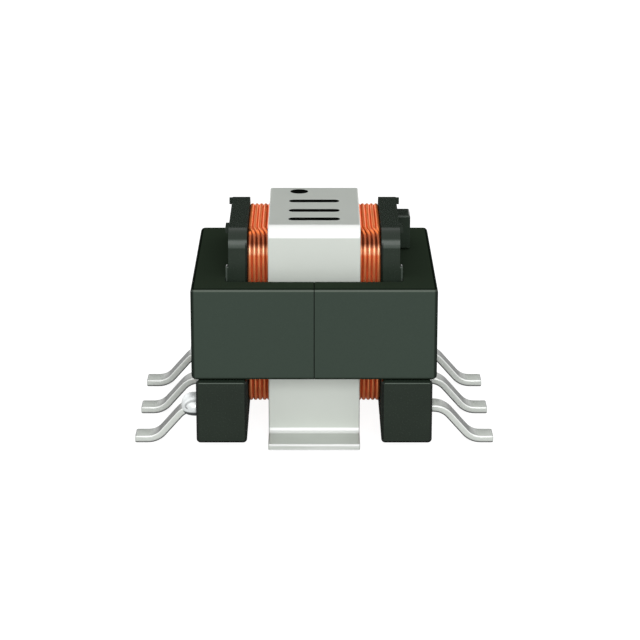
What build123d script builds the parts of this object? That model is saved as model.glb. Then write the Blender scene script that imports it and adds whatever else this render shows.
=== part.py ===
from build123d import *
import os

# Current sense transformer for surface mounting, in millimetres.
# X runs from the left row of leads to the right row, Y from the front foot of the
# primary strap to the rear one, and Z is up. The origin lies on the circuit board,
# under the middle of the part.

# Core: two ferrite E shapes whose three legs face each other across the middle
core_length = 5.30  # along X, over both halves
core_depth = 5.30  # along Y
core_height = 2.05  # along Z
back_wall = 0.72
outer_leg = 0.56
centre_leg = 1.40
core_edge_radius = 0.10
window_corner_radius = 0.08

# Adhesive between the outer legs of the two halves
glue_thickness = 0.02
glue_inset = 0.03

# Bobbin: a tube with two flanges, each standing on a rail that holds three leads
leg_clearance = 0.05
tube_wall = 0.20
tube_corner_radius = 0.10
flange_thickness = 0.40
flange_end_gap = 0.07
flange_margin = 0.10
flange_corner_radius = 0.38
rail_width = 1.10
rail_height = 1.43
rail_base = 0.13
rail_end_margin = 0.395
rail_edge_radius = 0.09
rail_end_chamfer = 0.05
core_seat_gap = 0.025
bobbin_edge_radius = 0.04
groove_width = 0.22

# Bobbin details: ribs that grip the core, nubs at the flange tops and one key lug
rib_depth = 0.20
rib_rise = 0.25
rib_clearance = 0.01
nub_reach = 0.07
nub_height = 0.135
front_nub_depth = 0.39
rear_nub_depth = 0.12
lug_reach = 0.305
lug_height = 0.785
lug_depth = 0.68
lug_centre_y = 0.91
lug_gap = 0.01

# Leads: six formed strips, three in each rail
lead_width = 0.51
lead_thickness = 0.157
lead_pitch = 1.95
lead_exit_height = 0.709  # underside of the strip where it leaves the rail
lead_embed = 0.80
lead_shoulder = 0.24
lead_slope_run = 0.625
lead_reach = 1.37
lead_bend_radius = 0.25  # inside the bend

# Secondary winding: enamelled copper wire in even layers
wire_diameter = 0.10
layer_nesting = 0.95  # pitch of the layers over the wire's diameter
winding_clearance = 0.01
winding_corner_radius = 0.50
turn_crown = 0.014

# Primary: one turn of flat strip over the winding
strap_width = 2.00
strap_thickness = 0.15
strap_bend_radius = 0.115  # inside the bend
strap_top_gap = 0.09
strap_winding_gap = 0.14
strap_core_gap = 0.17
strap_foot_reach = 0.80  # beyond the leg's outer face

# Wire ends and their solder joints
wire_gap = 0.01
solder_length = 0.31
solder_cover = 0.03  # over the wire
solder_below = 0.075
solder_radius = 0.09
solder_end_chamfer = 0.05

# Allowance for rounding when whole layers and turns are counted
rounding = 1e-6

# Heights that follow from the sizes above
rail_top = rail_base + rail_height
core_base = rail_top + core_seat_gap
core_middle = core_base + core_height / 2
core_top = core_base + core_height

# The window of the core, and the tube round its centre leg
window_length = core_length - 2 * back_wall
window_depth = core_depth - 2 * outer_leg
tube_half_depth = centre_leg / 2 + leg_clearance + tube_wall
tube_half_height = core_height / 2 + leg_clearance + tube_wall
flange_outer_x = window_length / 2 - flange_end_gap
flange_inner_x = flange_outer_x - flange_thickness
rail_outer_x = flange_inner_x + rail_width

# The strap's legs stand off the core, and the winding takes the room inside them
strap_half_depth = window_depth / 2 - strap_core_gap
winding_room = (
    strap_half_depth - strap_thickness - strap_winding_gap - tube_half_depth - winding_clearance
)
layer_pitch = wire_diameter * layer_nesting
layers = 1 + int((winding_room - wire_diameter) / layer_pitch + rounding)
winding_build = wire_diameter + (layers - 1) * layer_pitch
turns_per_layer = int(2 * (flange_inner_x - winding_clearance) / wire_diameter + rounding)
winding_half_length = turns_per_layer * wire_diameter / 2
winding_half_depth = tube_half_depth + winding_clearance + winding_build
winding_half_height = tube_half_height + winding_clearance + winding_build
winding_top = core_middle + winding_half_height
winding_bottom = core_middle - winding_half_height

flange_half_depth = winding_half_depth + flange_margin
flange_top = winding_top + flange_margin
strap_top = winding_top + strap_top_gap + strap_thickness

# Leads and wire grooves share the spacing along the rails, and the wire ends leave
# level with the lowest turns, so the grooves reach that high
rail_half_length = lead_pitch + lead_width / 2 + rail_end_margin
lead_middle_height = lead_exit_height + lead_thickness / 2
groove_y = lead_pitch / 2
wire_exit_height = winding_bottom + turn_crown + wire_diameter / 2
groove_depth = wire_exit_height + groove_width / 2 - rail_base
lead_rows = {"front": -lead_pitch, "middle": 0, "rear": lead_pitch}


def box_between(low, high):
    """A plain block between two opposite corners."""
    size = [b - a for a, b in zip(low, high)]
    middle = [(a + b) / 2 for a, b in zip(low, high)]
    return Pos(*middle) * Box(*size)


def rounded_top_box(low, high, radius):
    """A block with only the edges of its top rounded."""
    block = box_between(low, high)
    return fillet(block.faces().sort_by(Axis.Z)[-1].edges(), radius)


def mirrored(shape):
    """The same form on the left, X reversed."""
    return mirror(shape, about=Plane.YZ)


def formed_strip(points, thickness, width, inside_radius):
    """A flat strip bent along a line of points, its width across the line's plane."""
    middle_line = FilletPolyline(*points, radius=inside_radius + thickness / 2)
    return extrude(trace(middle_line, thickness), width / 2, both=True)


def wire_along(points):
    """Round wire with a sharp bend at each inner point."""
    route = Polyline(*points)
    start = Plane(route @ 0, z_dir=route % 0)
    return sweep(start * Circle(wire_diameter / 2), path=route, transition=Transition.RIGHT)


def core_pair():
    """Both halves as one block with two windows and rounded outer edges."""
    block = fillet(Box(core_length, core_depth, core_height).edges(), core_edge_radius)
    window_width = (window_depth - centre_leg) / 2
    outline = RectangleRounded(window_length, window_width, window_corner_radius)
    window = extrude(outline, core_height / 2, both=True)
    for side in (-1, 1):
        block -= Pos(0, side * (centre_leg + window_width) / 2, 0) * window
    return Pos(0, 0, core_middle) * block


def core_half():
    """The right E, with its mating faces ground flat half a glue line from the middle."""
    right_side = box_between(
        (glue_thickness / 2, -core_depth, core_base), (core_length, core_depth, core_top)
    )
    return core_pair() & right_side


def adhesive_film(side):
    """The film that bonds the front (-1) or rear (1) outer legs."""
    leg_middle = side * (core_depth - outer_leg) / 2
    film = Box(glue_thickness, outer_leg - 2 * glue_inset, core_height - 2 * glue_inset)
    return Pos(0, leg_middle, core_middle) * film


def flange():
    """The right flange: a plate with rounded top corners that runs down into the rail."""
    outline = Rectangle(
        2 * flange_half_depth, flange_top - rail_base - rail_edge_radius,
        align=(Align.CENTER, Align.MAX),
    )
    outline = fillet(outline.vertices().group_by(Axis.Y)[-1], flange_corner_radius)
    plate = extrude(Plane.YZ * Pos(0, flange_top) * outline, flange_thickness)
    return Pos(flange_inner_x, 0, 0) * plate


def rail():
    """The right rail: a bar along Y with rounded long edges and chamfered ends."""
    outline = RectangleRounded(rail_width, rail_height, rail_edge_radius)
    bar = extrude(Plane.XZ * outline, rail_half_length, both=True)
    faces_along = bar.faces().sort_by(Axis.Y)
    bar = chamfer(faces_along[0].edges() + faces_along[-1].edges(), rail_end_chamfer)
    return Pos(flange_inner_x + rail_width / 2, 0, rail_base + rail_height / 2) * bar


def flange_details():
    """On the right flange's outer face: ribs that grip the core, and top nubs."""
    rib_outer_x = window_length / 2 - rib_clearance
    rib = rounded_top_box(
        (flange_outer_x - bobbin_edge_radius, -flange_half_depth, rail_top),
        (rib_outer_x, rib_depth - flange_half_depth, core_top + rib_rise),
        bobbin_edge_radius,
    )
    nub_low = flange_top - nub_height
    nub_x = (flange_outer_x - bobbin_edge_radius, flange_outer_x + nub_reach)
    front_nub_y = flange_corner_radius - flange_half_depth
    rear_nub_y = flange_half_depth - flange_corner_radius - rear_nub_depth
    front_nub = box_between(
        (nub_x[0], front_nub_y, nub_low), (nub_x[1], front_nub_y + front_nub_depth, flange_top)
    )
    rear_nub = box_between(
        (nub_x[0], rear_nub_y, nub_low), (nub_x[1], rear_nub_y + rear_nub_depth, flange_top)
    )
    return [rib, mirror(rib, about=Plane.XZ), front_nub, rear_nub]


def key_lug():
    """The lug over the right core half's back wall, which shows which way round it is."""
    low = core_top + lug_gap
    return rounded_top_box(
        (flange_outer_x - bobbin_edge_radius, lug_centre_y - lug_depth / 2, low),
        (flange_outer_x + lug_reach, lug_centre_y + lug_depth / 2, low + lug_height),
        bobbin_edge_radius,
    )


def bobbin_end():
    """The right end, with wire grooves cut from below and seats for its leads."""
    body = flange() + rail() + flange_details()
    groove_outline = SlotOverall(2 * groove_depth, groove_width, rotation=90)
    for side in (-1, 1):
        middle = Pos(0, side * groove_y, rail_base)
        body -= middle * extrude(Plane.YZ * groove_outline, core_length)
    for y in lead_rows.values():
        body -= lead(y)
    return body


def bobbin():
    """One moulding: the tube, two flanges on their rails, and the small details."""
    tube_outline = RectangleRounded(
        2 * tube_half_depth, 2 * tube_half_height, tube_corner_radius
    )
    tube = extrude(Plane.YZ * Pos(0, core_middle) * tube_outline, flange_outer_x, both=True)
    body = tube + bobbin_end() + mirrored(bobbin_end()) + key_lug()
    bore = Box(
        core_length, centre_leg + 2 * leg_clearance, core_height + 2 * leg_clearance
    )
    return body - Pos(0, 0, core_middle) * bore


def lead(y):
    """A gull-wing lead on the right: level in the rail, sloping down, flat at the tip."""
    foot_height = lead_thickness / 2
    shoulder_x = rail_outer_x + lead_shoulder
    points = [
        (rail_outer_x - lead_embed, lead_middle_height),
        (shoulder_x, lead_middle_height),
        (shoulder_x + lead_slope_run, foot_height),
        (rail_outer_x + lead_reach, foot_height),
    ]
    strip = formed_strip(points, lead_thickness, lead_width, lead_bend_radius)
    return Pos(0, y, 0) * (Plane.XZ * strip)


def primary_strap():
    """One turn of strip: rear foot, up, over the winding, down and out to the front foot."""
    leg_y = strap_half_depth - strap_thickness / 2
    foot_height = strap_thickness / 2
    top_height = strap_top - strap_thickness / 2
    half = [
        (strap_half_depth + strap_foot_reach, foot_height),
        (leg_y, foot_height),
        (leg_y, top_height),
    ]
    points = [(-y, z) for y, z in half] + half[::-1]
    strip = formed_strip(points, strap_thickness, strap_width, strap_bend_radius)
    return Plane.YZ * strip


def turns_section(depth):
    """Section through the outermost turns: straight inside, a shallow ridge per turn."""
    ridges = [
        (step * wire_diameter / 2 - winding_half_length, turn_crown * (step % 2))
        for step in range(2 * turns_per_layer + 1)
    ]
    base = [(winding_half_length, -depth), (-winding_half_length, -depth)]
    return make_face(Polyline(*ridges, *base, close=True))


def wire_end(side):
    """A wire end on the left: from the last turn through a groove and over a lead's root."""
    offset = wire_gap + wire_diameter / 2
    last_turn_x = -(winding_half_length - wire_diameter / 2)
    rail_face_x = -(rail_outer_x + offset)
    hook_x = -(rail_outer_x + solder_length / 2)
    near_y = lead_pitch - lead_width / 2 - offset
    far_y = lead_pitch + lead_width / 2 + offset
    over_z = lead_exit_height + lead_thickness + offset
    points = [
        (last_turn_x, groove_y, wire_exit_height),
        (rail_face_x, groove_y, wire_exit_height),
        (hook_x, near_y, lead_exit_height),
        (hook_x, near_y, over_z),
        (hook_x, far_y, over_z),
    ]
    return wire_along([(x, side * y, z) for x, y, z in points])


def secondary_winding():
    """Even layers of turns round the tube, with both wire ends led out to the left."""
    depth = 2 * layer_pitch
    outer = RectangleRounded(
        2 * winding_half_depth, 2 * winding_half_height, winding_corner_radius
    )
    inner = RectangleRounded(
        2 * (winding_half_depth - layer_pitch),
        2 * (winding_half_height - layer_pitch),
        winding_corner_radius - layer_pitch,
    )
    hole = RectangleRounded(
        2 * (tube_half_depth + winding_clearance),
        2 * (tube_half_height + winding_clearance),
        tube_corner_radius + winding_clearance,
    )
    path = (Plane.YZ * outer).wire()
    start = Plane(path @ 0, x_dir=(1, 0, 0), z_dir=path % 0)
    crowned_turns = sweep(start * turns_section(depth), path=path)
    core_turns = extrude(Plane.YZ * inner, winding_half_length, both=True)
    tube_space = extrude(Plane.YZ * hole, core_length, both=True)
    coil = Pos(0, 0, core_middle) * ((crowned_turns + core_turns) - tube_space)
    return coil + wire_end(-1) + wire_end(1)


def solder_joint(side):
    """The solder that covers the wire's hook over the lead's root on the left."""
    cover = wire_gap + wire_diameter + solder_cover
    low = lead_exit_height - solder_below
    high = lead_exit_height + lead_thickness + cover
    near_end = Plane(
        origin=(-(rail_outer_x + wire_gap), side * lead_pitch, (low + high) / 2),
        x_dir=(0, 1, 0), z_dir=(-1, 0, 0),
    )
    outline = RectangleRounded(lead_width + 2 * cover, high - low, solder_radius)
    blob = extrude(near_end * outline, solder_length)
    blob = chamfer(blob.faces().sort_by(Axis.X)[0].edges(), solder_end_chamfer)
    return blob - mirrored(lead(side * lead_pitch)) - wire_end(side)


nodes = {
    "core_half_right": core_half(),
    "core_half_left": mirrored(core_half()),
    "adhesive_film_front": adhesive_film(-1),
    "adhesive_film_rear": adhesive_film(1),
    "bobbin": bobbin(),
    "primary_strap": primary_strap(),
    "secondary_winding": secondary_winding(),
    "solder_joint_front": solder_joint(-1),
    "solder_joint_rear": solder_joint(1),
}
for row, y in lead_rows.items():
    nodes[f"lead_right_{row}"] = lead(y)
    nodes[f"lead_left_{row}"] = mirrored(lead(y))

os.makedirs("parts", exist_ok=True)
for name, shape in nodes.items():
    export_step(shape, f"parts/{name}.step")
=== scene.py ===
import math
import random

import bpy
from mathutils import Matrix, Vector


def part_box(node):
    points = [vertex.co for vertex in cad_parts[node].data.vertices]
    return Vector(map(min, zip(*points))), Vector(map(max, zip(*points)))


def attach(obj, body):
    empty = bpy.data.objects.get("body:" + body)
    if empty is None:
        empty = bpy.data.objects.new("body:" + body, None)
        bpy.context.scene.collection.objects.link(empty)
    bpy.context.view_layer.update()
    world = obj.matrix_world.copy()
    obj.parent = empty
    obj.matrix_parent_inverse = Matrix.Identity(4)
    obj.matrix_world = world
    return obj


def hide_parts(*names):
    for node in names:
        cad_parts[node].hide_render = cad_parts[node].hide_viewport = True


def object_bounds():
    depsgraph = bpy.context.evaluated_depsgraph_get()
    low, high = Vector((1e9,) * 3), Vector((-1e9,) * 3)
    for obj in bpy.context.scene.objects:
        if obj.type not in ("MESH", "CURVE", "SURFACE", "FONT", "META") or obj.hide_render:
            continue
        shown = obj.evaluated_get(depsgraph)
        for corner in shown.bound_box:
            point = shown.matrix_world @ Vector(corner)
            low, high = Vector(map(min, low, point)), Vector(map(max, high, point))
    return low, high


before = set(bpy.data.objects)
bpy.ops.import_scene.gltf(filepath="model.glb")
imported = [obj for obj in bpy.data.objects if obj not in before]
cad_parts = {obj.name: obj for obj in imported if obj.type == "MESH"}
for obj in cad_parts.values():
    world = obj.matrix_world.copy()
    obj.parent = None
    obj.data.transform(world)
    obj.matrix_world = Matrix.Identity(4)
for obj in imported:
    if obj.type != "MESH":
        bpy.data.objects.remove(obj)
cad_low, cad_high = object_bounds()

# Looks for the current sense transformer. Lengths are in millimetres until a mesh, a lamp
# or the camera is made, where MM turns them into Blender's metres. The axes are the CAD
# model's. Colours are linear.
MM = 0.001
X_AXIS = Vector((1, 0, 0))
Y_AXIS = Vector((0, 1, 0))
Z_AXIS = Vector((0, 0, 1))


def box_mm(node):
    """The lowest and highest corners of a CAD node in millimetres."""
    low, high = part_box(node)
    return low / MM, high / MM


# ---------------------------------------------------------------- materials

# The base colours of the core, bobbin, strap, leads, solder and wire follow ramps over
# the surface's direction, and some over its place. They paint in bright and dark bands that
# this scene's light doesn't give. They are no wear, varnish or other real marks, and they
# stay in place under any other light.

class Nodes:
    """Short calls that add nodes to the tree of a material or a world."""

    def __init__(self, owner):
        owner.use_nodes = True
        self.tree = owner.node_tree

    def feed(self, socket, value):
        """Links the value to a socket where it is one too, or else sets it there."""
        if isinstance(value, bpy.types.NodeSocket):
            self.tree.links.new(value, socket)
        else:
            socket.default_value = value

    def node(self, kind, *values, **settings):
        """A new node; its first inputs are linked to, or set to, the values."""
        made = self.tree.nodes.new(kind)
        for key, value in settings.items():
            setattr(made, key, value)
        for socket, value in zip(made.inputs, values):
            self.feed(socket, value)
        return made

    def math(self, operation, *values):
        return self.node("ShaderNodeMath", *values, operation=operation).outputs[0]

    def mapped(self, value, low, high, at_low, at_high, smooth=False):
        """Goes from at_low to at_high as the value goes from low to high."""
        kind = "SMOOTHSTEP" if smooth else "LINEAR"
        made = self.node("ShaderNodeMapRange", value, interpolation_type=kind)
        ends = {"From Min": low, "From Max": high, "To Min": at_low, "To Max": at_high}
        for socket, number in ends.items():
            made.inputs[socket].default_value = number
        return made.outputs["Result"]

    def reflected(self, ray):
        """1 for rays that a surface reflects or lets through, and 0 for all others."""
        return self.math(
            "MAXIMUM", ray.outputs["Is Glossy Ray"], ray.outputs["Is Transmission Ray"],
        )


class Material(Nodes):
    """A node material on one Principled shader, with short calls for what feeds it."""

    def __init__(self, name, **constants):
        self.material = bpy.data.materials.new(name)
        super().__init__(self.material)
        self.shader = self.tree.nodes["Principled BSDF"]
        for socket, value in constants.items():
            self.shader.inputs[socket.replace("_", " ")].default_value = value
        self.object_space = self.node("ShaderNodeTexCoord")

    def noise(self, size_mm, detail=3.0, stretch=(1, 1, 1)):
        """Smooth noise, about size_mm from lump to lump."""
        place = self.node("ShaderNodeMapping", self.object_space.outputs["Object"])
        place.inputs["Scale"].default_value = stretch
        texture = self.node("ShaderNodeTexNoise", place.outputs["Vector"])
        texture.inputs["Scale"].default_value = 1 / (size_mm * MM)
        texture.inputs["Detail"].default_value = detail
        texture.inputs["Roughness"].default_value = 0.55
        return texture.outputs["Fac"]

    def facing(self):
        """The surface's own direction as three sockets, x, y and z, from -1 to 1."""
        normal = self.object_space.outputs["Normal"]
        return self.node("ShaderNodeSeparateXYZ", normal).outputs

    def upward(self, facing):
        """How far the surface faces up, from 0 straight down to 1 straight up."""
        return self.math("MULTIPLY_ADD", facing["Z"], 0.5, 0.5)

    def place(self):
        """The position on the part in mm as three sockets, x, y and z."""
        metres = self.object_space.outputs["Object"]
        scaled = self.node("ShaderNodeVectorMath", metres, operation="SCALE")
        scaled.inputs["Scale"].default_value = 1 / MM
        return self.node("ShaderNodeSeparateXYZ", scaled.outputs[0]).outputs

    def ramp(self, value, stops):
        """A colour or grey for each value, from (place, grey or colour) stops."""
        made = self.node("ShaderNodeValToRGB", value)
        elements = made.color_ramp.elements
        while len(elements) < len(stops):
            elements.new(0.5)
        for element, (place, colour) in zip(elements, stops):
            grey = isinstance(colour, (int, float))
            element.position = place
            element.color = (colour, colour, colour, 1) if grey else (*colour, 1)
        return made.outputs["Color"]

    def mixed(self, share, a, b, blend="MIX"):
        """Colours a and b blended by the share of b; each may be a constant."""
        made = self.node("ShaderNodeMix", data_type="RGBA", blend_type=blend)
        colours = [i for i in made.inputs if i.type == "RGBA"]
        self.feed(made.inputs["Factor"], share)
        for socket, colour in zip(colours, (a, b)):
            self.feed(socket, (*colour, 1) if isinstance(colour, tuple) else colour)
        return next(o for o in made.outputs if o.type == "RGBA")

    def multiplied(self, a, b):
        return self.mixed(1.0, a, b, "MULTIPLY")

    def colour(self, base, variation, low, high):
        """Base colour, scaled between low and high by a 0 to 1 variation."""
        scale = self.ramp(variation, [(0.3, low), (0.7, high)])
        self.feed(self.shader.inputs["Base Color"], self.multiplied(base, scale))

    def rough(self, value, low, high):
        """Roughness from low to high as the value goes from 0 to 1."""
        self.feed(self.shader.inputs["Roughness"], self.mapped(value, 0.0, 1.0, low, high))

    def bump(self, height, depth):
        """Bump with its depth in mm."""
        made = self.node("ShaderNodeBump")
        made.inputs["Strength"].default_value = 1.0
        made.inputs["Distance"].default_value = depth * MM
        self.feed(made.inputs["Height"], height)
        self.feed(self.shader.inputs["Normal"], made.outputs["Normal"])


def ferrite_material():
    """Ferrite: grey-green sides, painted shade on level faces, fillets and corners, a painted
    top-edge highlight.
    """
    made = Material("ferrite", Specular_IOR_Level=0.0)
    side = (0.051, 0.070, 0.056)
    edge = (0.125, 0.150, 0.125)
    level = (0.0265, 0.039, 0.025)
    painted_shade = (0.010, 0.016, 0.010)
    facing = made.facing()
    # painted shade: level faces darker than the sides, darker still on the bottom fillets and the
    # upper part of the top fillets; painted highlight: pale on the lower part of the top fillets
    base = made.ramp(made.upward(facing), [
        (0.0, level), (0.15, painted_shade), (0.32, side), (0.65, side), (0.70, edge), (0.84, edge),
        (0.89, painted_shade), (0.97, painted_shade), (0.99, level),
    ])
    sideways = made.math("ABSOLUTE", facing["X"])
    # painted shade: darker where the surface faces partly sideways, on the upright corners
    corner = made.ramp(sideways, [(0.2, 1.0), (0.4, 0.45), (0.93, 0.30), (0.99, 1.0)])
    grain = made.noise(0.035, detail=5)
    made.colour(made.multiplied(base, corner), grain, 0.97, 1.03)
    made.rough(made.noise(0.9), 0.55, 0.7)
    made.bump(grain, 0.0003)
    return made.material


# bands painted on the bobbin's fronts, in mm, each as its middle and how far it goes either
# way: a painted highlight along the rails, the span between the painted shade on the rails'
# sides, and a painted highlight on the ribs, with the height that this highlight covers
RAIL_HIGHLIGHT_Z = (1.512, 0.022)
UNSHADED_FRONT_X = (2.010, 0.515)
RIB_HIGHLIGHT_X = (1.903, 0.018)
RIB_HIGHLIGHT_Z = (3.9, 0.35)


def bobbin_material():
    """Moulding compound: near black and satin, with painted highlights and painted shade."""
    made = Material("bobbin_plastic", Specular_IOR_Level=0.18)
    front, top = (0.0215, 0.0315, 0.0225), (0.0150, 0.0235, 0.0160)
    painted_bend_highlight = (0.066, 0.084, 0.070)
    bottom, shade = (0.018, 0.026, 0.019), (0.003, 0.004, 0.003)
    grain = made.noise(0.05, detail=4)
    facing = made.facing()
    upward = made.upward(facing)
    # painted shade: tops, undersides and down-facing fillets darker than the fronts; painted
    # highlight: pale on the rounded corners between fronts and tops
    base = made.ramp(upward, [
        (0.04, bottom), (0.12, shade), (0.28, shade), (0.46, front),
        (0.51, front), (0.56, painted_bend_highlight), (0.70, painted_bend_highlight), (0.76, top),
    ])
    sideways = made.math("ABSOLUTE", facing["X"])
    # painted shade: darker where the surface faces partly or fully sideways
    corner = made.ramp(sideways, [(0.3, 1.0), (0.55, 0.35), (0.93, 0.35), (0.99, 0.8)])
    place = made.place()
    # heights as a share of 5 mm, which is just over the part's own height
    height = made.math("DIVIDE", place["Z"], 5.0)
    # painted shade and light by height: darker below 1.5 mm, lighter from 1.6 to 4.15 mm
    base = made.multiplied(base, made.ramp(height, [
        (0.300, 0.90), (0.320, 1.15), (0.830, 1.15), (0.870, 1.0),
    ]))
    fronts = made.math("GREATER_THAN", made.math("ABSOLUTE", facing["Y"]), 0.95)
    outward = made.math("ABSOLUTE", place["X"])
    at_rail_highlight = made.math("COMPARE", place["Z"], *RAIL_HIGHLIGHT_Z)
    at_side_shade = made.math("SUBTRACT", 1.0, made.math("COMPARE", outward, *UNSHADED_FRONT_X))
    at_rib_highlight = made.math(
        "MULTIPLY",
        made.math("COMPARE", outward, *RIB_HIGHLIGHT_X),
        made.math("COMPARE", place["Z"], *RIB_HIGHLIGHT_Z),
    )
    # painted highlights along the rails and ribs, painted shade on the rails' sides
    for band, tone in (
        (at_rail_highlight, (0.115, 0.142, 0.118)),
        (at_side_shade, (0.009, 0.014, 0.010)),
        (at_rib_highlight, (0.078, 0.098, 0.081)),
    ):
        base = made.mixed(made.math("MULTIPLY", band, fronts), base, tone)
    made.colour(made.multiplied(base, corner), made.noise(0.6), 0.94, 1.06)
    on_sides = made.ramp(sideways, [(0.90, 0.0), (0.97, 1.0)])
    underneath = made.ramp(upward, [(0.30, 1.0), (0.45, 0.0)])
    satin = made.math("MULTIPLY_ADD", grain, 0.015, 0.265)
    matte = made.math("MAXIMUM", on_sides, underneath)
    made.rough(made.math("MAXIMUM", satin, matte), 0.0, 1.0)
    made.bump(grain, 0.00005)
    return made.material


def tinned_strap_material():
    """Tin plate: satin flats, painted white highlights on the bends, feet painted darker as shade.
    """
    made = Material("tinned_strip", Metallic=0.14, Specular_IOR_Level=0.3)
    facing = made.facing()
    bent = made.math("ABSOLUTE", made.math("MULTIPLY", facing["Y"], facing["Z"]))
    # painted highlight: near white on the bends
    base = made.ramp(bent, [(0.02, (0.715, 0.755, 0.70)), (0.14, (0.97, 0.99, 0.965))])
    drawn = made.noise(0.05, detail=4, stretch=(1.0, 0.06, 0.06))
    # painted shade: the feet are darker than the rest
    feet_painted_shade = made.ramp(made.place()["Z"], [(0.1505, 0.87), (0.156, 1.0)])
    base = made.multiplied(base, feet_painted_shade)
    made.colour(base, made.noise(0.8, detail=2), 0.985, 1.0)
    made.rough(drawn, 0.30, 0.38)
    made.bump(drawn, 0.0002)
    return made.material


def tinned_lead_material():
    """Tin plate, with painted shade on slopes, undersides and ends, and painted highlights on the
    sides.
    """
    made = Material("tinned_lead", Metallic=0.25)
    under_shade, upright, slope_shade = 0.13, (0.19, 0.20, 0.185), (0.085, 0.090, 0.083)
    side = (0.72, 0.755, 0.71)
    facing = made.facing()
    upward = made.upward(facing)
    # painted shade: the broad faces darker on slopes, undersides and ends than on flat tops
    rolled = made.ramp(upward, [
        (0.35, under_shade), (0.43, upright), (0.60, upright), (0.72, slope_shade), (0.87, slope_shade),
        (0.96, (0.29, 0.305, 0.285)), (0.99, (0.47, 0.50, 0.465)), (1.0, (0.86, 0.905, 0.84)),
    ])
    # painted shade on the sides' bottom edges and a painted highlight along their top edges
    sides = made.ramp(upward, [
        (0.41, 0.12), (0.48, side), (0.58, side), (0.68, (0.96, 0.98, 0.955)),
    ])
    across = made.ramp(made.math("ABSOLUTE", facing["Y"]), [(0.25, 0.0), (0.45, 1.0)])
    base = made.mixed(across, rolled, sides)
    drawn = made.noise(0.05, detail=4, stretch=(0.08, 1.0, 0.08))
    made.colour(base, made.noise(0.8, detail=2), 0.97, 1.0)
    made.rough(drawn, 0.30, 0.38)
    made.bump(drawn, 0.0002)
    return made.material


def solder_material():
    """Fresh solder: bright and slightly blue, with painted shade underneath and along the wire's
    line.
    """
    made = Material("solder", Metallic=0.45)
    upward = made.upward(made.facing())
    # painted shade: dark on the faces turned down
    base = made.ramp(upward, [(0.29, (0.06, 0.07, 0.07)), (0.41, (0.95, 0.985, 0.985))])
    crease = made.node("ShaderNodeAttribute", attribute_name="crease").outputs["Fac"]
    # painted shade along the crease over the buried hook
    base = made.multiplied(base, made.ramp(crease, [(0.25, 1.0), (0.9, 0.50)]))
    ripple = made.noise(0.16, detail=2)
    made.colour(base, ripple, 0.97, 1.0)
    made.rough(ripple, 0.32, 0.40)
    made.bump(ripple, 0.0006)
    return made.material


def enamel_material():
    """Enamelled copper wire, with a painted highlight and painted shade on its bends."""
    made = Material("enamelled_wire", Metallic=0.75, Specular_IOR_Level=0.1)
    painted_highlight, painted_shade = (0.95, 0.46, 0.26), (0.355, 0.095, 0.040)
    facing = made.facing()
    # how far the turn faces up, whatever side of the round wire is seen
    across = made.node("ShaderNodeCombineXYZ", 0.0, facing["Y"], facing["Z"]).outputs[0]
    length = made.node("ShaderNodeVectorMath", across, operation="LENGTH").outputs["Value"]
    climb = made.math("DIVIDE", facing["Z"], length)
    # painted highlight low on the corners between fronts and top, painted shade higher up on them
    base = made.ramp(climb, [
        (0.06, (0.95, 0.29, 0.115)), (0.15, painted_highlight), (0.34, painted_highlight),
        (0.56, painted_shade), (0.86, painted_shade), (0.97, (1.0, 0.235, 0.045)),
    ])
    cloud = made.noise(0.3, detail=3)
    made.colour(base, cloud, 0.93, 1.05)
    made.rough(cloud, 0.34, 0.42)
    return made.material


def adhesive_material():
    """Cured epoxy: near black with a slight shine."""
    made = Material("adhesive", Specular_IOR_Level=0.0)
    cloud = made.noise(0.1)
    made.colour((0.008, 0.010, 0.008), cloud, 0.8, 1.2)
    made.rough(cloud, 0.3, 0.5)
    return made.material


def ink_material():
    """Printed marking ink, slightly uneven."""
    made = Material("marking_ink", Specular_IOR_Level=0.0)
    speckle = made.noise(0.03, detail=4)
    made.colour((0.004, 0.0045, 0.004), speckle, 0.6, 1.4)
    made.rough(speckle, 0.45, 0.65)
    return made.material


FERRITE = ferrite_material()
BOBBIN = bobbin_material()
STRAP_TIN = tinned_strap_material()
LEAD_TIN = tinned_lead_material()
SOLDER = solder_material()
ENAMEL = enamel_material()
ADHESIVE = adhesive_material()
INK = ink_material()


# ---------------------------------------------------------------- mesh helpers

def make_piece(name, vertices, faces, material, weighted=True):
    """A smooth mesh piece from points in millimetres, riding on the part."""
    mesh = bpy.data.meshes.new(name)
    mesh.from_pydata([tuple(v * MM) for v in vertices], [], faces)
    mesh.validate()
    mesh.shade_smooth()
    mesh.materials.append(material)
    piece = bpy.data.objects.new(name, mesh)
    bpy.context.scene.collection.objects.link(piece)
    if weighted:
        normals = piece.modifiers.new("even_normals", "WEIGHTED_NORMAL")
        normals.keep_sharp = False
    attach(piece, "root")
    return piece


def rounded_path(points, radius, step=math.radians(7)):
    """Points along straight runs joined by tangent arcs."""
    points = [Vector(p) for p in points]
    path = [points[0]]
    for before, corner, after in zip(points, points[1:], points[2:]):
        arriving = (corner - before).normalized()
        leaving = (after - corner).normalized()
        turn = arriving.angle(leaving)
        if turn < 1e-4:
            path.append(corner)
            continue
        start = corner - arriving * (radius * math.tan(turn / 2))
        inward = (leaving - arriving * arriving.dot(leaving)).normalized()
        centre = start + inward * radius
        steps = max(2, math.ceil(turn / step))
        for k in range(steps + 1):
            angle = turn * k / steps
            spoke = arriving * math.sin(angle) - inward * math.cos(angle)
            path.append(centre + spoke * radius)
    path.append(points[-1])
    return path


def tangents(path):
    """The direction of travel at each point of a path."""
    found = []
    for k in range(len(path)):
        ahead = path[min(k + 1, len(path) - 1)] - path[k]
        behind = path[k] - path[max(k - 1, 0)]
        found.append((ahead.normalized() + behind.normalized()).normalized())
    return found


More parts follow.
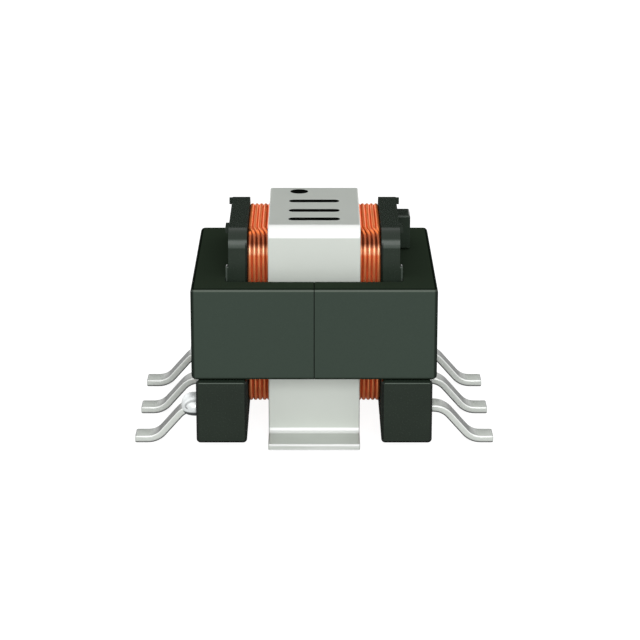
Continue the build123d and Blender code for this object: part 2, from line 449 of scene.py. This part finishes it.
def skin(rings):
    """Vertices and faces of a skin over rings of equally many points, closed at its ends."""
    count = len(rings[0])
    vertices = [v for ring in rings for v in ring]
    faces = []
    for r in range(len(rings) - 1):
        for k in range(count):
            n = (k + 1) % count
            a, b = r * count, (r + 1) * count
            faces.append((a + k, a + n, b + n, b + k))
    last = (len(rings) - 1) * count
    faces.append(tuple(range(count - 1, -1, -1)))
    faces.append(tuple(last + k for k in range(count)))
    return vertices, faces


def rounded_rectangle(half_width, half_height, radius, steps=4):
    """Corner-rounded outline as (u, v) pairs, anticlockwise."""
    outline = []
    quarters = [(1, -1, -90), (1, 1, 0), (-1, 1, 90), (-1, -1, 180)]
    for su, sv, start in quarters:
        for k in range(steps + 1):
            angle = math.radians(start + 90 * k / steps)
            outline.append((
                su * (half_width - radius) + radius * math.cos(angle),
                sv * (half_height - radius) + radius * math.sin(angle),
            ))
    return outline


def strip_mesh(path, thickness, width, width_axis, edge):
    """A bent strip of metal with rounded edges and ends."""
    directions = tangents(path)
    directions[0] = (path[1] - path[0]).normalized()
    directions[-1] = (path[-1] - path[-2]).normalized()
    # how far along from an end, and how far in from the full outline
    rounding = [
        (edge * (1 - math.cos(angle)), edge * (1 - math.sin(angle)))
        for angle in (math.radians(30 * k) for k in range(4))
    ]
    first, last = directions[0], directions[-1]
    stations = [(path[0] + first * along, first, inset) for along, inset in rounding]
    stations += [(p, d, 0.0) for p, d in zip(path[1:-1], directions[1:-1])]
    stations += [(path[-1] - last * along, last, inset) for along, inset in reversed(rounding)]
    rings = []
    for place, direction, inset in stations:
        across = direction.cross(width_axis).normalized()
        radius = max(edge - inset, edge * 0.05)
        outline = rounded_rectangle(width / 2 - inset, thickness / 2 - inset, radius)
        rings.append([place + width_axis * u - across * v for u, v in outline])
    return skin(rings)


WIRE_SIDES = 12


def tube_mesh(path, radius, side):
    """A round wire along a path, from a side direction that its start isn't parallel to."""
    directions = tangents(path)
    side = (side - directions[0] * side.dot(directions[0])).normalized()
    rings = []
    for k, (place, direction) in enumerate(zip(path, directions)):
        if k:
            side = directions[k - 1].rotation_difference(direction) @ side
            side = (side - direction * side.dot(direction)).normalized()
        other = direction.cross(side)
        angles = [2 * math.pi * s / WIRE_SIDES for s in range(WIRE_SIDES)]
        rings.append([
            place + side * (radius * math.cos(a)) + other * (radius * math.sin(a))
            for a in angles
        ])
    return skin(rings)


# ---------------------------------------------------------------- carried-over solids

for name, material in [
    ("core_half_left", FERRITE),
    ("core_half_right", FERRITE),
    ("bobbin", BOBBIN),
]:
    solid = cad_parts[name]
    solid.data.materials.clear()
    solid.data.materials.append(material)


# ---------------------------------------------------------------- adhesive films

CORE_LEG = 0.56
CORE_CORNER = 0.09
FILM_RECESS = 0.006


def adhesive_film(node):
    """The film between two ground legs, rounded like them outside, and just recessed."""
    low, high = box_mm(node)
    core_low, core_high = box_mm("core_half_right")
    half_leg = CORE_LEG / 2
    side = -1 if low.y < 0 else 1
    centre_y = side * ((core_high.y - core_low.y) / 2 - half_leg)
    centre_z = (core_high.z + core_low.z) / 2
    half_wide = half_leg - FILM_RECESS
    half_high = (core_high.z - core_low.z) / 2 - FILM_RECESS
    outline = [
        (u, v) if u * side > 0 else (-side * half_wide, math.copysign(half_high, v))
        for u, v in rounded_rectangle(half_wide, half_high, CORE_CORNER)
    ]
    outline = list(dict.fromkeys(outline))
    rings = [
        [Vector((x, centre_y + u, centre_z + v)) for u, v in outline] for x in (low.x, high.x)
    ]
    vertices, faces = skin(rings)
    piece = make_piece(node + "_visual", vertices, faces, ADHESIVE, weighted=False)
    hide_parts(node)


for name in ("adhesive_film_front", "adhesive_film_rear"):
    adhesive_film(name)


# ---------------------------------------------------------------- primary strap

strap_low, strap_high = box_mm("primary_strap")
STRAP_THICKNESS = 0.15
STRAP_WIDTH = strap_high.x - strap_low.x
STRAP_HALF_DEPTH = 1.92
STRAP_BEND = 0.115 + STRAP_THICKNESS / 2
STRAP_EDGE = 0.03


def primary_strap():
    """One turn of strip, from the front foot over the top to the rear foot."""
    leg_y = STRAP_HALF_DEPTH - STRAP_THICKNESS / 2
    foot_z = strap_low.z + STRAP_THICKNESS / 2
    top_z = strap_high.z - STRAP_THICKNESS / 2
    line = [
        (0, strap_low.y, foot_z), (0, -leg_y, foot_z), (0, -leg_y, top_z),
        (0, leg_y, top_z), (0, leg_y, foot_z), (0, strap_high.y, foot_z),
    ]
    path = rounded_path(line, STRAP_BEND)
    vertices, faces = strip_mesh(path, STRAP_THICKNESS, STRAP_WIDTH, X_AXIS, STRAP_EDGE)
    piece = make_piece("primary_strap_visual", vertices, faces, STRAP_TIN)
    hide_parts("primary_strap")


primary_strap()


# ---------------------------------------------------------------- leads

LEAD_THICKNESS = 0.157
LEAD_BEND = 0.38 + LEAD_THICKNESS / 2
LEAD_EDGE = 0.034
LEAD_SHOULDER = 0.26
LEAD_SLOPE_RUN = 0.625
bobbin_low, bobbin_high = box_mm("bobbin")


def lead(node):
    """A gull-wing lead that follows its CAD solid, with rounded edges."""
    low, high = box_mm(node)
    side = 1 if high.x > 0 else -1
    root_x, tip_x = sorted((low.x, high.x), key=abs)
    middle_y = (low.y + high.y) / 2
    shoulder_x = side * (bobbin_high.x + LEAD_SHOULDER)
    slope_x = shoulder_x + side * LEAD_SLOPE_RUN
    root_z, foot_z = high.z - LEAD_THICKNESS / 2, low.z + LEAD_THICKNESS / 2
    line = [
        (root_x, middle_y, root_z), (shoulder_x, middle_y, root_z),
        (slope_x, middle_y, foot_z), (tip_x, middle_y, foot_z),
    ]
    path = rounded_path(line, LEAD_BEND)
    width = high.y - low.y
    vertices, faces = strip_mesh(path, LEAD_THICKNESS, width, Y_AXIS * side, LEAD_EDGE)
    piece = make_piece(node + "_visual", vertices, faces, LEAD_TIN)
    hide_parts(node)


for name in [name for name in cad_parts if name.startswith("lead_")]:
    lead(name)


# ---------------------------------------------------------------- secondary winding

WIRE = 0.10
TURNS = 29
LAYER = 0.095
WINDING_HALF_DEPTH = 1.63
WINDING_BOTTOM, WINDING_TOP = 0.655, 4.565
WINDING_CORNER = 0.50
CORNER_POINTS = 10

# how far before and after the start of a corner a turn moves over to the next place
STEP_BEFORE, STEP_AFTER = 0.28, 0.36
STEP_POINTS = 6

# a turn's four runs bulge outwards by a draw between these, and sideways by one up to DRIFT
LIFTS = ((-0.006, 0.010), (-0.008, 0.030), (-0.006, 0.010), (-0.004, 0.018))
DRIFT = 0.004


def eased(f):
    """0 before 0, 1 after 1, and smooth between."""
    f = min(1.0, max(0.0, f))
    return f * f * (3 - 2 * f)


def stepped(travel):
    """How far over a turn is, 0 to 1, by its travel past the start of the corner."""
    return eased((travel + STEP_BEFORE) / (STEP_BEFORE + STEP_AFTER))


def turn_path(turn, dice):
    """The centre line of one outer turn, from the top's front corner round to it again.

    Each turn steps over to its neighbour's place at that corner. The first one comes up
    from the layer below there, and the last one goes back down to it.
    """
    half_depth = WINDING_HALF_DEPTH - WIRE / 2
    half_height = (WINDING_TOP - WINDING_BOTTOM) / 2 - WIRE / 2
    middle_z = (WINDING_TOP + WINDING_BOTTOM) / 2
    corner = WINDING_CORNER - WIRE / 2
    flat_y, flat_z = half_depth - corner, half_height - corner
    x = -TURNS * WIRE / 2 + WIRE / 2 + turn * WIRE
    first, last = turn == 0, turn == TURNS - 1
    lifts = [dice.uniform(low, high) for low, high in LIFTS]
    drifts = [dice.uniform(-DRIFT, DRIFT) for _ in LIFTS]
    # each run's start, end, outward direction and count of points: front, bottom, rear, top
    runs = [
        ((-half_depth, flat_z), (-half_depth, -flat_z), (-1, 0), 12),
        ((-flat_y, -half_height), (flat_y, -half_height), (0, -1), 8),
        ((half_depth, -flat_z), (half_depth, flat_z), (1, 0), 12),
        ((flat_y, half_height), (-flat_y, half_height), (0, 1), 30),
    ]
    # each corner's centre and the angle it starts at, in degrees, ahead of the run beside it
    arcs = [
        (-flat_y, flat_z, 90), (-flat_y, -flat_z, 180), (flat_y, -flat_z, 270), (flat_y, flat_z, 0),
    ]
    turned = [90 / CORNER_POINTS * k for k in range(CORNER_POINTS)]

    def on_corner(arc, degrees, across, sunk):
        """A point on a corner, moved across by turns and sunk by layers."""
        centre_y, centre_z, start = arc
        angle, radius = math.radians(start + degrees), corner - sunk * LAYER
        y, z = centre_y + radius * math.cos(angle), centre_z + radius * math.sin(angle)
        return Vector((x + across * WIRE, y, middle_z + z))

    points = []
    if first:
        for k in range(STEP_POINTS):
            travel = -STEP_BEFORE * (1 - k / STEP_POINTS)
            z = middle_z + half_height - LAYER * (1 - stepped(travel))
            points.append(Vector((x, -flat_y - travel, z)))
    for number, (arc, (start, end, out, count)) in enumerate(zip(arcs, runs)):
        for degrees in turned:
            behind = 1 - stepped(corner * math.radians(degrees)) if number == 0 else 0.0
            across, sunk = (0, behind**2) if first else (-behind, 0)
            points.append(on_corner(arc, degrees, across, sunk))
        for k in range(count):
            f = k / count
            bulge = math.sin(math.pi * f)
            lift = lifts[number] * bulge
            y, z = (a + (b - a) * f + o * lift for a, b, o in zip(start, end, out))
            ahead = stepped(-flat_y - y) if number == 3 else 0.0
            across, sunk = (0, ahead) if last else (ahead, 0)
            side_x = x + across * WIRE + drifts[number] * bulge**2
            points.append(Vector((side_x, y, middle_z + z - sunk * LAYER)))
    if last:
        for degrees in turned:
            sunk = stepped(corner * math.radians(degrees))
            points.append(on_corner(arcs[0], degrees, 0, sunk))
    return points


def winding_turns():
    """The outer layer as one long wire."""
    dice = random.Random(7)
    path = []
    for turn in range(TURNS):
        path += turn_path(turn, dice)
    vertices, faces = tube_mesh(path, WIRE / 2, X_AXIS)
    piece = make_piece(
        "secondary_winding_turns", vertices, faces, ENAMEL, weighted=False,
    )
    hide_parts("secondary_winding")


BED_GAP = 0.01
BED_DIP = 0.022
BED_RINGS_PER_TURN = 6


def winding_bed():
    """The layers beneath the outer one, as a block with a dip between each two turns."""
    depth = LAYER + BED_GAP
    half_depth = WINDING_HALF_DEPTH - depth
    half_height = (WINDING_TOP - WINDING_BOTTOM) / 2 - depth
    middle_z = (WINDING_TOP + WINDING_BOTTOM) / 2
    rings = []
    half_length = TURNS * WIRE / 2
    steps = TURNS * BED_RINGS_PER_TURN
    for k in range(steps + 1):
        x = -half_length + 2 * half_length * k / steps
        dip = BED_DIP * (1 - abs(math.cos(math.pi * (x / WIRE + 0.5))))
        corner = WINDING_CORNER - depth
        outline = rounded_rectangle(half_depth - dip, half_height - dip, corner, 6)
        rings.append([Vector((x, u, middle_z + v)) for u, v in outline])
    vertices, faces = skin(rings)
    make_piece("secondary_winding_bed", vertices, faces, ENAMEL, weighted=False)


GROOVE_Y = 0.975
WIRE_EXIT_Z = 0.719
LEAD_PITCH, LEAD_WIDTH = 1.95, 0.51
LEAD_EXIT_Z = 0.709
WIRE_CLEARANCE = 0.01
HOOK_REACH = 0.155
HOOK_BEND = 0.07


def wire_end(side):
    """A wire end: from the last turn through its groove and up over a lead's root."""
    offset = WIRE_CLEARANCE + WIRE / 2
    last_x = -(TURNS * WIRE / 2 - WIRE / 2)
    face_x = bobbin_low.x - offset
    hook_x = bobbin_low.x - HOOK_REACH
    near_y = LEAD_PITCH - LEAD_WIDTH / 2 - offset
    over_z = LEAD_EXIT_Z + LEAD_THICKNESS + WIRE / 2
    line = [
        (last_x, GROOVE_Y, WIRE_EXIT_Z), (face_x, GROOVE_Y, WIRE_EXIT_Z),
        (hook_x, near_y, LEAD_EXIT_Z), (hook_x, near_y, over_z),
        (hook_x, LEAD_PITCH + LEAD_WIDTH / 4, over_z),
    ]
    line = [(x, side * y, z) for x, y, z in line]
    path = rounded_path(line, HOOK_BEND, math.radians(15))
    vertices, faces = tube_mesh(path, WIRE / 2, Z_AXIS)
    label = "front" if side < 0 else "rear"
    make_piece(f"wire_end_{label}", vertices, faces, ENAMEL, weighted=False)


winding_turns()
winding_bed()
for side in (-1, 1):
    wire_end(side)


# ---------------------------------------------------------------- solder joints

SOLDER_SWELL = 0.03
SOLDER_ROUNDNESS = 2.6
SOLDER_POINTS_ROUND, SOLDER_RINGS = 128, 72
CREASE_DEPTH, CREASE_WIDTH = 0.02, 0.024
# the line of the buried hook on the joint's outer face, as (x from the rail, z)
HOOK_LINE = [
    (0.0, 0.992), (-0.04, 0.990), (-0.134, 0.982), (-0.214, 0.944), (-0.258, 0.886),
    (-0.256, 0.848), (-0.220, 0.826),
]


def distance_to_run(x, z, a, b):
    """How far (x, z) lies from the run between a and b."""
    run_x, run_z = b[0] - a[0], b[1] - a[1]
    f = ((x - a[0]) * run_x + (z - a[1]) * run_z) / (run_x**2 + run_z**2)
    f = min(1.0, max(0.0, f))
    return math.hypot(x - a[0] - f * run_x, z - a[1] - f * run_z)


def solder_joint(node):
    """Solder drawn round the wire's hook on a lead's root, with the hook's line pressed in and
    painted darker as shade.

    It is half of a rounded block, from the rail out to its tip.
    """
    low, high = box_mm(node)
    low -= Vector((1, 1, 1)) * SOLDER_SWELL
    high += Vector((0, 1, 1)) * SOLDER_SWELL
    centre, half = (low + high) / 2, (high - low) / 2
    centre.x = high.x
    half.x = high.x - low.x
    side = -1 if centre.y < 0 else 1
    hook = [(bobbin_low.x + x, z) for x, z in HOOK_LINE]
    count = SOLDER_POINTS_ROUND
    power = SOLDER_ROUNDNESS
    vertices, faces, creases = [], [], []
    for i in range(SOLDER_RINGS + 1):
        lean = math.pi / 2 * i / SOLDER_RINGS
        for k in range(count):
            angle = 2 * math.pi * k / count
            wide = math.cos(lean)
            ray = Vector((-math.sin(lean), wide * math.cos(angle), wide * math.sin(angle)))
            size = sum(abs(c) ** power for c in ray) ** (1 / power)
            place = centre + Vector(h * r / size for h, r in zip(half, ray))
            crease = 0.0
            if (place.y - centre.y) * side > 0:
                away = min(distance_to_run(place.x, place.z, a, b) for a, b in zip(hook, hook[1:]))
                crease = math.exp(-((away / CREASE_WIDTH) ** 2))
                place += (centre - place).normalized() * (CREASE_DEPTH * crease)
            creases.append(crease)
            vertices.append(place)
    for i in range(SOLDER_RINGS):
        for k in range(count):
            n = (k + 1) % count
            a, b = i * count, (i + 1) * count
            faces.append((a + n, a + k, b + k, b + n))
    faces.append(tuple(range(count)))
    piece = make_piece(node + "_visual", vertices, faces, SOLDER, weighted=False)
    # the crease also carries painted shade in the solder's material
    attribute = piece.data.attributes.new("crease", "FLOAT", "POINT")
    attribute.data.foreach_set("value", creases)
    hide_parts(node)


for name in ("solder_joint_front", "solder_joint_rear"):
    solder_joint(name)


# ---------------------------------------------------------------- generic marking

INK_LIFT, INK_SINK = 0.004, 0.002
DOT_CENTRE, DOT_RADIUS = (-0.34, 1.325), 0.20
BAR_HALF_LENGTH, BAR_HALF_WIDTH, BAR_CORNER = 0.56, 0.115, 0.11
BAR_PLACES_Y = (0.425, -0.44, -1.195)


def ink_patch(name, outline):
    """A flat print on the strap's top."""
    z = strap_high.z
    below = [Vector((x, y, z - INK_SINK)) for x, y in outline]
    above = [Vector((x, y, z + INK_LIFT)) for x, y in outline]
    vertices, faces = skin([below, above])
    make_piece(name, vertices, faces, INK, weighted=False)


def marking():
    """A polarity dot and three plain bars, which say nothing about who made the part."""
    x, y = DOT_CENTRE
    angles = [math.radians(a) for a in range(0, 360, 10)]
    dot = [(x + DOT_RADIUS * math.cos(a), y + DOT_RADIUS * math.sin(a)) for a in angles]
    ink_patch("marking_dot", dot)
    bar = rounded_rectangle(BAR_HALF_LENGTH, BAR_HALF_WIDTH, BAR_CORNER, 5)
    for number, y in enumerate(BAR_PLACES_Y, 1):
        ink_patch(f"marking_bar_{number}", [(u, y + v) for u, v in bar])


marking()


# ---------------------------------------------------------------- floor and light

FLOOR_REACH = 1500.0
FLOOR_GAP = 0.002
# the floor's own grey for light on the part, and for the camera with the glow added to it
FLOOR_GREY, FLOOR_GREY_SEEN = 0.72, 0.35
FLOOR_GLOW_SEEN, FLOOR_GLOW_IN_METAL = 0.93, 0.20


def floor():
    """A plain pale floor that is white to the camera and keeps the part's shadow."""
    z = cad_low.z / MM - FLOOR_GAP
    signs = ((-1, -1), (1, -1), (1, 1), (-1, 1))
    corners = [Vector((x * FLOOR_REACH, y * FLOOR_REACH, z)) for x, y in signs]
    mesh = bpy.data.meshes.new("floor")
    mesh.from_pydata([tuple(v * MM) for v in corners], [], [(0, 1, 2, 3)])
    ground = bpy.data.objects.new("floor", mesh)
    bpy.context.scene.collection.objects.link(ground)
    material = bpy.data.materials.new("floor")
    made = Nodes(material)
    made.tree.nodes.clear()
    ray = made.node("ShaderNodeLightPath")
    camera_ray = ray.outputs["Is Camera Ray"]
    grey = made.mapped(camera_ray, 0.0, 1.0, FLOOR_GREY, FLOOR_GREY_SEEN)
    diffuse = made.node("ShaderNodeBsdfDiffuse", grey)
    in_metal = made.math("MULTIPLY", made.reflected(ray), FLOOR_GLOW_IN_METAL)
    glow = made.node("ShaderNodeEmission")
    strength = made.math("MULTIPLY_ADD", camera_ray, FLOOR_GLOW_SEEN, in_metal)
    made.feed(glow.inputs["Strength"], strength)
    both = made.node("ShaderNodeAddShader", diffuse.outputs[0], glow.outputs[0])
    made.node("ShaderNodeOutputMaterial", both.outputs[0])
    mesh.materials.append(material)


def studio():
    """The light round the part, as a level for each direction.

    The camera sees plain white. Reflections see a bright room, brighter overhead and on
    the left and right of the far end, where a dark card stands in the middle. Diffuse light
    comes from all round, a little less of it from overhead.
    """
    world = bpy.data.worlds.new("studio")
    bpy.context.scene.world = world
    made = Nodes(world)
    made.tree.nodes.clear()
    ray = made.node("ShaderNodeLightPath")
    direction = made.node("ShaderNodeTexCoord").outputs["Generated"]
    x, y, z = made.node("ShaderNodeSeparateXYZ", direction).outputs
    at_far_end = made.mapped(y, 0.80, 0.88, 0.0, 1.0, smooth=True)
    narrow = made.mapped(made.math("ABSOLUTE", x), 0.13, 0.20, 1.0, 0.0, smooth=True)
    low = made.mapped(z, 0.50, 0.64, 1.0, 0.0, smooth=True)
    ahead = made.math("MULTIPLY", at_far_end, narrow)
    card = made.math("MULTIPLY", ahead, low)
    beside = made.math("SUBTRACT", at_far_end, ahead)
    overhead = made.mapped(z, 0.55, 0.75, 0.84, 1.6, smooth=True)
    room = made.math("MULTIPLY_ADD", beside, 0.8, overhead)
    room = made.math("MULTIPLY", room, made.math("MULTIPLY_ADD", card, -0.97, 1.0))
    ambient = made.mapped(z, 0.25, 0.75, 0.72, 0.51, smooth=True)
    mirrored = made.reflected(ray)
    camera_ray = ray.outputs["Is Camera Ray"]
    plain = made.math("SUBTRACT", 1.0, made.math("MAXIMUM", mirrored, camera_ray))
    level = made.math("MULTIPLY_ADD", mirrored, room, camera_ray)
    level = made.math("MULTIPLY_ADD", plain, ambient, level)
    background = made.node("ShaderNodeBackground", (1, 1, 1, 1), level)
    made.node("ShaderNodeOutputWorld", background.outputs[0])


def lamp(name, place, target, size, power):
    """A square soft box, placed in millimetres and turned to its target."""
    data = bpy.data.lights.new(name, "AREA")
    data.shape = "SQUARE"
    data.size = size * MM
    data.energy = power
    box = bpy.data.objects.new(name, data)
    box.location = Vector(place) * MM
    box.rotation_euler = (Vector(target) - Vector(place)).to_track_quat("-Z", "Y").to_euler()
    box.visible_camera = False
    bpy.context.scene.collection.objects.link(box)


floor()
studio()
# a soft box behind and a little above the camera
lamp("key", (8, -111, 49), (0, 0, 2.5), 60, 0.060)


# ---------------------------------------------------------------- camera

LENS, SENSOR = 134.07, 36.0
CAMERA_SHIFT_X = 0.0091
CAMERA_ELEVATION = math.radians(16.809)
CAMERA_DISTANCE = 53.789
LOOK_AT = Vector((0, 0, 2.1473))


def front_camera():
    """A long lens in front of the part, a little above it."""
    data = bpy.data.cameras.new("camera")
    data.sensor_width = SENSOR
    data.lens = LENS
    data.shift_x = CAMERA_SHIFT_X
    data.clip_start = 1 * MM
    data.clip_end = 10000 * MM
    camera = bpy.data.objects.new("camera", data)
    back = Vector((0, -math.cos(CAMERA_ELEVATION), math.sin(CAMERA_ELEVATION)))
    camera.location = (LOOK_AT + back * CAMERA_DISTANCE) * MM
    camera.rotation_euler = (math.pi / 2 - CAMERA_ELEVATION, 0, 0)
    bpy.context.scene.collection.objects.link(camera)
    bpy.context.scene.camera = camera


front_camera()
bpy.context.scene.view_settings.view_transform = "Standard"
